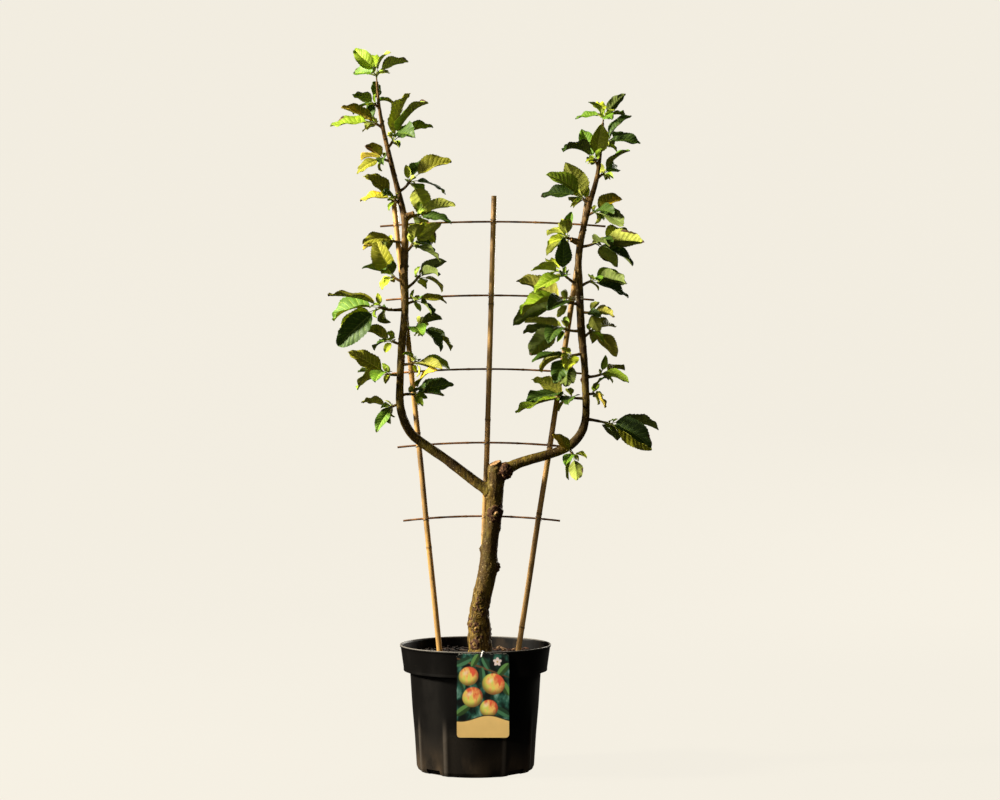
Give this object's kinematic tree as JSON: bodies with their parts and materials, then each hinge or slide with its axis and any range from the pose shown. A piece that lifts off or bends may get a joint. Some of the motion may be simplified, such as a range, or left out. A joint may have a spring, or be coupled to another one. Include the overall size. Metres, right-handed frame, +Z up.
{
  "type": "potted espalier apple tree",
  "caption": "Young apple tree trained flat as a U-shaped espalier on a bamboo trellis, in a black nursery pot of compost with a hanging plant label.",
  "frame": {"origin": "middle of the pot's flat underside", "axes": "+Z up the trunk; +X to the right in the plane of the espalier; +Y to the back, where the trellis stands behind the arms"},
  "size_m": [0.5273, 0.2411, 1.1466],
  "materials": {
    "pot_plastic": "black blow-moulded plastic, dusty, with pale scuffs",
    "compost": "dark compost with bark chips, matt",
    "label_card": "printed plastic card, slightly glossy",
    "bark": "olive-brown bark with pale pores, knots and warts",
    "bamboo": "dry split-free bamboo cane, satin",
    "bar_cane": "thin reddish-brown cane, satin",
    "leaf": "green leaves, some yellow-green or olive, slightly glossy above and pale below"
  },
  "bodies": {
    "root": {"pot": "pot_plastic", "soil": "compost", "label": "label_card", "trunk": "bark", "left_arm_slant": "bark", "left_arm_upright": "bark", "left_leader": "bark", "right_arm_slant": "bark", "right_arm_upright": "bark", "right_leader": "bark", "trellis_cane_left": "bamboo", "trellis_cane_middle": "bamboo", "trellis_cane_right": "bamboo", "trellis_bar_1": "bar_cane", "trellis_bar_2": "bar_cane", "trellis_bar_3": "bar_cane", "trellis_bar_4": "bar_cane", "trellis_bar_5": "bar_cane", "foliage_left_low_outer": "leaf", "foliage_left_low_inner": "leaf", "foliage_left_second_outer": "leaf", "foliage_left_second_inner": "leaf", "foliage_left_third_outer": "leaf", "foliage_left_third_inner": "leaf", "foliage_left_fourth_outer": "leaf", "foliage_left_fourth_inner": "leaf", "foliage_left_fifth_outer": "leaf", "foliage_left_fifth_inner": "leaf", "foliage_left_sixth_outer": "leaf", "foliage_left_sixth_inner": "leaf", "foliage_left_seventh_inner": "leaf", "foliage_left_seventh_outer": "leaf", "foliage_left_eighth_inner": "leaf", "foliage_left_ninth_inner": "leaf", "foliage_left_ninth_outer": "leaf", "foliage_left_tenth_outer": "leaf", "foliage_left_eleventh": "leaf", "foliage_left_top": "leaf", "foliage_right_bend": "leaf", "foliage_right_low_outer": "leaf", "foliage_right_second_inner": "leaf", "foliage_right_second_outer": "leaf", "foliage_right_third_outer": "leaf", "foliage_right_third_inner": "leaf", "foliage_right_fourth_inner": "leaf", "foliage_right_fourth_outer": "leaf", "foliage_right_fifth_inner": "leaf", "foliage_right_fifth_outer": "leaf", "foliage_right_sixth_outer": "leaf", "foliage_right_sixth_inner": "leaf", "foliage_right_seventh_inner": "leaf", "foliage_right_seventh_outer": "leaf", "foliage_right_eighth_outer": "leaf", "foliage_right_eighth_inner": "leaf", "foliage_right_ninth_outer": "leaf", "foliage_right_ninth_inner": "leaf", "foliage_right_tenth_outer": "leaf", "foliage_right_top": "leaf"}
  },
  "joints": []
}
